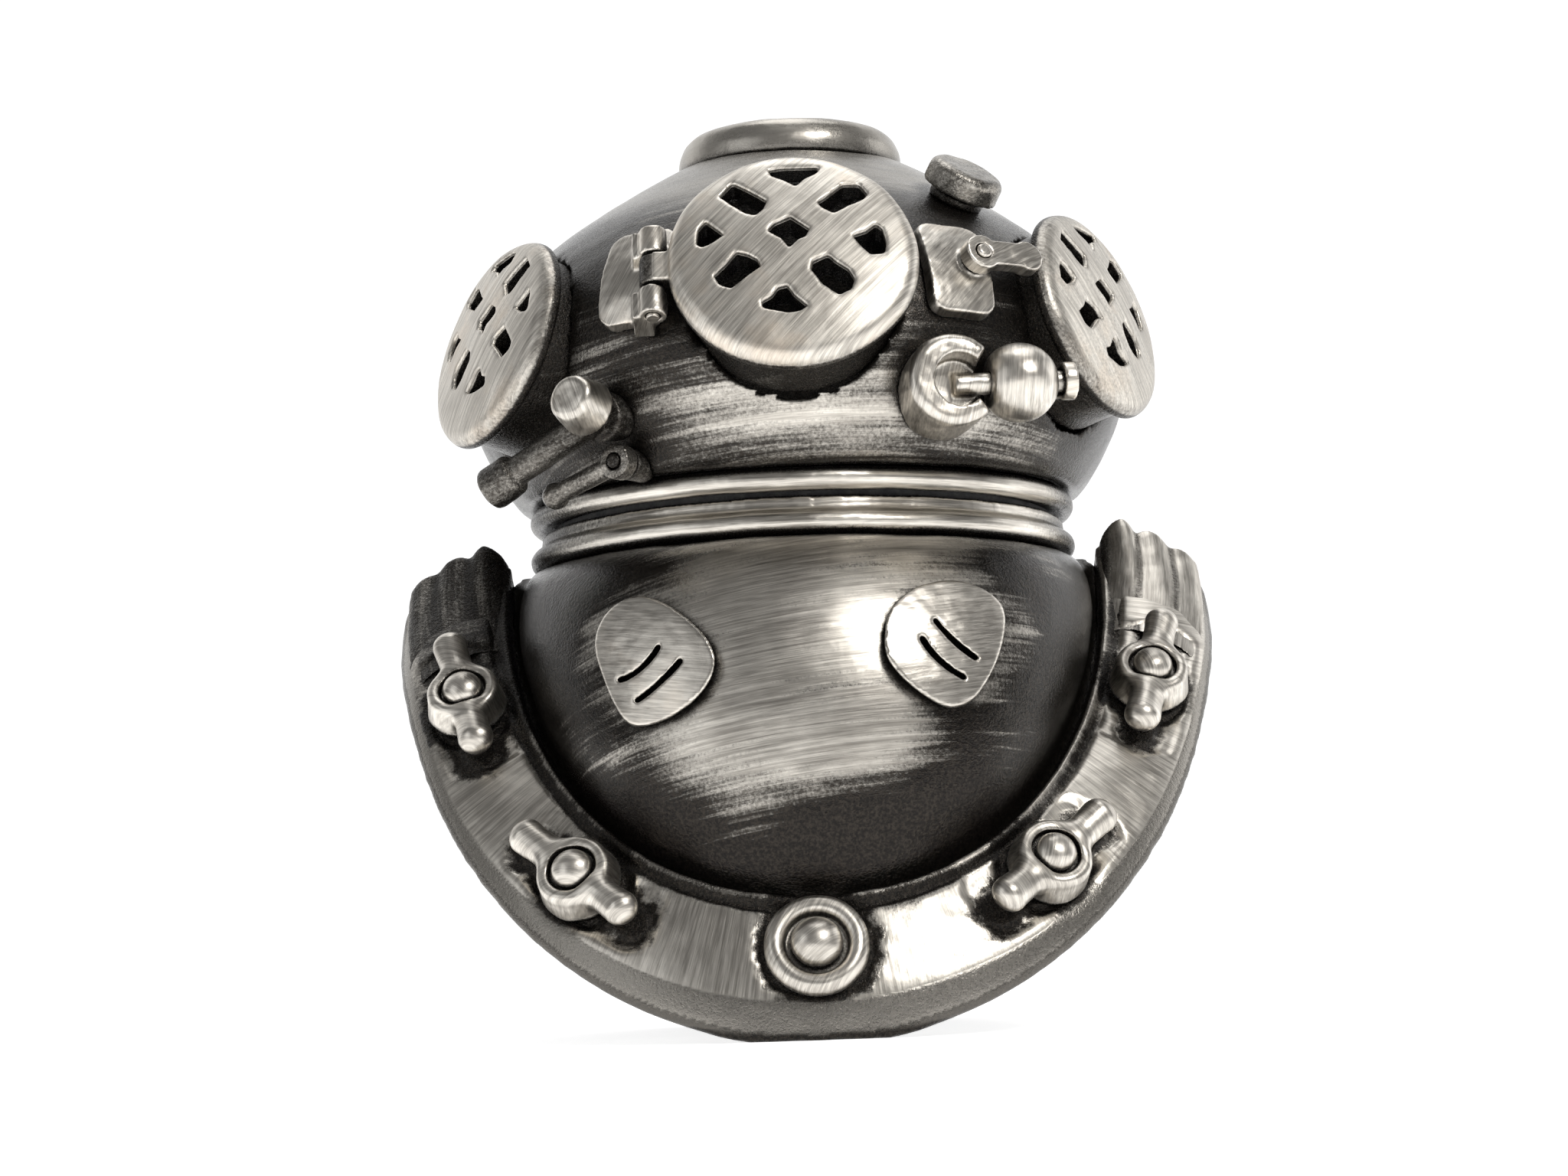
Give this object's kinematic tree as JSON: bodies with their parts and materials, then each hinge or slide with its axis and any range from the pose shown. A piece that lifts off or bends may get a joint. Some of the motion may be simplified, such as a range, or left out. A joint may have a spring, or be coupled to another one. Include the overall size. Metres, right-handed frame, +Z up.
{
  "type": "bubbling ornament",
  "caption": "Diver's helmet bubbling ornament with pierced port guards, hinged front port, turning bonnet and an air stone under the breastplate.",
  "frame": {"origin": "middle of the base keel's underside, on the surface that the ornament stands on, on the axis of the neck", "axes": "+Z up the neck's axis, -Y out of the front port, +Y along the air inlet"},
  "size_m": [0.0792, 0.0854, 0.0872],
  "materials": {
    "antique_silver": "antiqued cast silver, brushed over a black patina",
    "brail_silver": "antiqued cast silver, brushed bright along the rim",
    "fitting_silver": "antiqued cast silver, worn bright",
    "guard_silver": "antiqued cast silver, brushed bright, dark in its holes",
    "seal_rubber": "black moulded rubber",
    "pipe_plastic": "black air pipe",
    "stone_mineral": "porous bonded grit, blue-grey",
    "cup_plastic": "black moulded plastic",
    "inner_metal": "darkened metal"
  },
  "bodies": {
    "breastplate": {"breastplate_shell": "antique_silver", "front_brail": "brail_silver", "rear_brail": "brail_silver", "left_shoulder_strap": "brail_silver", "right_shoulder_strap": "brail_silver", "collar_studs": "fitting_silver", "left_lanyard_pad": "fitting_silver", "right_lanyard_pad": "fitting_silver", "breastplate_neck_ring": "antique_silver", "neck_gasket": "seal_rubber", "base_keel": "inner_metal", "stone_cup": "cup_plastic", "cup_screw": "inner_metal", "air_stone": "stone_mineral", "stone_nipple": "cup_plastic", "air_pipe": "pipe_plastic", "air_inlet_nipple": "inner_metal", "inlet_seal": "seal_rubber", "inlet_nut": "inner_metal"},
    "bonnet": {"bonnet_shell": "antique_silver", "bonnet_neck_ring": "antique_silver", "front_port_seat": "guard_silver", "left_port_frame": "guard_silver", "right_port_frame": "guard_silver", "left_port_guard": "guard_silver", "right_port_guard": "guard_silver", "top_port_ring": "guard_silver", "top_port_guard": "guard_silver", "front_port_hinge_leaf": "fitting_silver", "front_port_hinge_pin": "fitting_silver", "front_port_latch_plate": "fitting_silver", "exhaust_valve_stem": "fitting_silver", "regulator_body": "fitting_silver", "regulator_bracket": "fitting_silver", "hose_connection_body": "fitting_silver", "shutoff_boss": "fitting_silver"},
    "front_port": {"front_port_guard": "guard_silver"},
    "latch_dog": {"front_port_latch_dog": "fitting_silver"},
    "exhaust_cap": {"exhaust_valve_cap": "fitting_silver"},
    "regulator_handle": {"regulator_knob": "fitting_silver"},
    "hose_cap": {"hose_connection_cap": "fitting_silver"},
    "shutoff": {"shutoff_lever": "fitting_silver"},
    "front_upper_left_wing_nut_body": {"front_upper_left_wing_nut": "fitting_silver"},
    "front_lower_left_wing_nut_body": {"front_lower_left_wing_nut": "fitting_silver"},
    "front_round_nut_body": {"front_round_nut": "fitting_silver"},
    "front_lower_right_wing_nut_body": {"front_lower_right_wing_nut": "fitting_silver"},
    "front_upper_right_wing_nut_body": {"front_upper_right_wing_nut": "fitting_silver"},
    "rear_upper_left_wing_nut_body": {"rear_upper_left_wing_nut": "fitting_silver"},
    "rear_lower_left_wing_nut_body": {"rear_lower_left_wing_nut": "fitting_silver"},
    "rear_round_nut_body": {"rear_round_nut": "fitting_silver"},
    "rear_lower_right_wing_nut_body": {"rear_lower_right_wing_nut": "fitting_silver"},
    "rear_upper_right_wing_nut_body": {"rear_upper_right_wing_nut": "fitting_silver"}
  },
  "joints": [
    {"name": "bonnet_turn", "type": "hinge", "parent": "breastplate", "child": "bonnet", "pos_m": [0, 0, 0.049], "axis": [0, 0, 1], "range_deg": [0, 45]},
    {"name": "front_port_hinge", "type": "hinge", "parent": "bonnet", "child": "front_port", "pos_m": [-0.01245, -0.03118, 0.06738], "axis": [0, -0.3907, -0.9205], "range_deg": [0, 105]},
    {"name": "latch_dog_swing", "type": "hinge", "parent": "bonnet", "child": "latch_dog", "pos_m": [0.01536, -0.02661, 0.0677], "axis": [0.4728, -0.8188, 0.3256], "range_deg": [0, 90]},
    {"name": "exhaust_cap_turn", "type": "hinge", "parent": "bonnet", "child": "exhaust_cap", "pos_m": [0.0153, -0.01641, 0.0766], "axis": [0.4199, -0.4503, 0.788], "continuous": true},
    {"name": "regulator_knob_turn", "type": "hinge", "parent": "bonnet", "child": "regulator_handle", "pos_m": [0.0197, -0.029, 0.0569], "axis": [0.9789, 0.202, 0.0311], "continuous": true},
    {"name": "hose_cap_turn", "type": "hinge", "parent": "bonnet", "child": "hose_cap", "pos_m": [-0.01784, -0.02695, 0.05552], "axis": [-0.4522, -0.8641, 0.2211], "continuous": true},
    {"name": "shutoff_lever_swing", "type": "hinge", "parent": "bonnet", "child": "shutoff", "pos_m": [-0.01472, -0.02355, 0.0515], "axis": [-0.5299, -0.848, 0], "range_deg": [0, 35]},
    {"name": "front_upper_left_wing_nut_turn", "type": "hinge", "parent": "breastplate", "child": "front_upper_left_wing_nut_body", "pos_m": [-0.03154, -0.01365, 0.03072], "axis": [-0.104, -0.7566, 0.6455], "range_deg": [-20, 20]},
    {"name": "front_lower_left_wing_nut_turn", "type": "hinge", "parent": "breastplate", "child": "front_lower_left_wing_nut_body", "pos_m": [-0.02024, -0.02918, 0.01383], "axis": [-0.2464, -0.8347, 0.4926], "range_deg": [-20, 20]},
    {"name": "front_round_nut_spin", "type": "hinge", "parent": "breastplate", "child": "front_round_nut_body", "pos_m": [0, -0.03572, 0.00762], "axis": [0, -0.9213, 0.389], "continuous": true},
    {"name": "front_lower_right_wing_nut_turn", "type": "hinge", "parent": "breastplate", "child": "front_lower_right_wing_nut_body", "pos_m": [0.02024, -0.02918, 0.01383], "axis": [0.2464, -0.8347, 0.4926], "range_deg": [-20, 20]},
    {"name": "front_upper_right_wing_nut_turn", "type": "hinge", "parent": "breastplate", "child": "front_upper_right_wing_nut_body", "pos_m": [0.03154, -0.01365, 0.03072], "axis": [0.104, -0.7566, 0.6455], "range_deg": [-20, 20]},
    {"name": "rear_upper_left_wing_nut_turn", "type": "hinge", "parent": "breastplate", "child": "rear_upper_left_wing_nut_body", "pos_m": [-0.03154, 0.01365, 0.03072], "axis": [-0.104, 0.7566, 0.6455], "range_deg": [-20, 20]},
    {"name": "rear_lower_left_wing_nut_turn", "type": "hinge", "parent": "breastplate", "child": "rear_lower_left_wing_nut_body", "pos_m": [-0.02024, 0.02918, 0.01383], "axis": [-0.2464, 0.8347, 0.4926], "range_deg": [-20, 20]},
    {"name": "rear_round_nut_spin", "type": "hinge", "parent": "breastplate", "child": "rear_round_nut_body", "pos_m": [0, 0.03572, 0.00762], "axis": [0, 0.9213, 0.389], "continuous": true},
    {"name": "rear_lower_right_wing_nut_turn", "type": "hinge", "parent": "breastplate", "child": "rear_lower_right_wing_nut_body", "pos_m": [0.02024, 0.02918, 0.01383], "axis": [0.2464, 0.8347, 0.4926], "range_deg": [-20, 20]},
    {"name": "rear_upper_right_wing_nut_turn", "type": "hinge", "parent": "breastplate", "child": "rear_upper_right_wing_nut_body", "pos_m": [0.03154, 0.01365, 0.03072], "axis": [0.104, 0.7566, 0.6455], "range_deg": [-20, 20]}
  ]
}
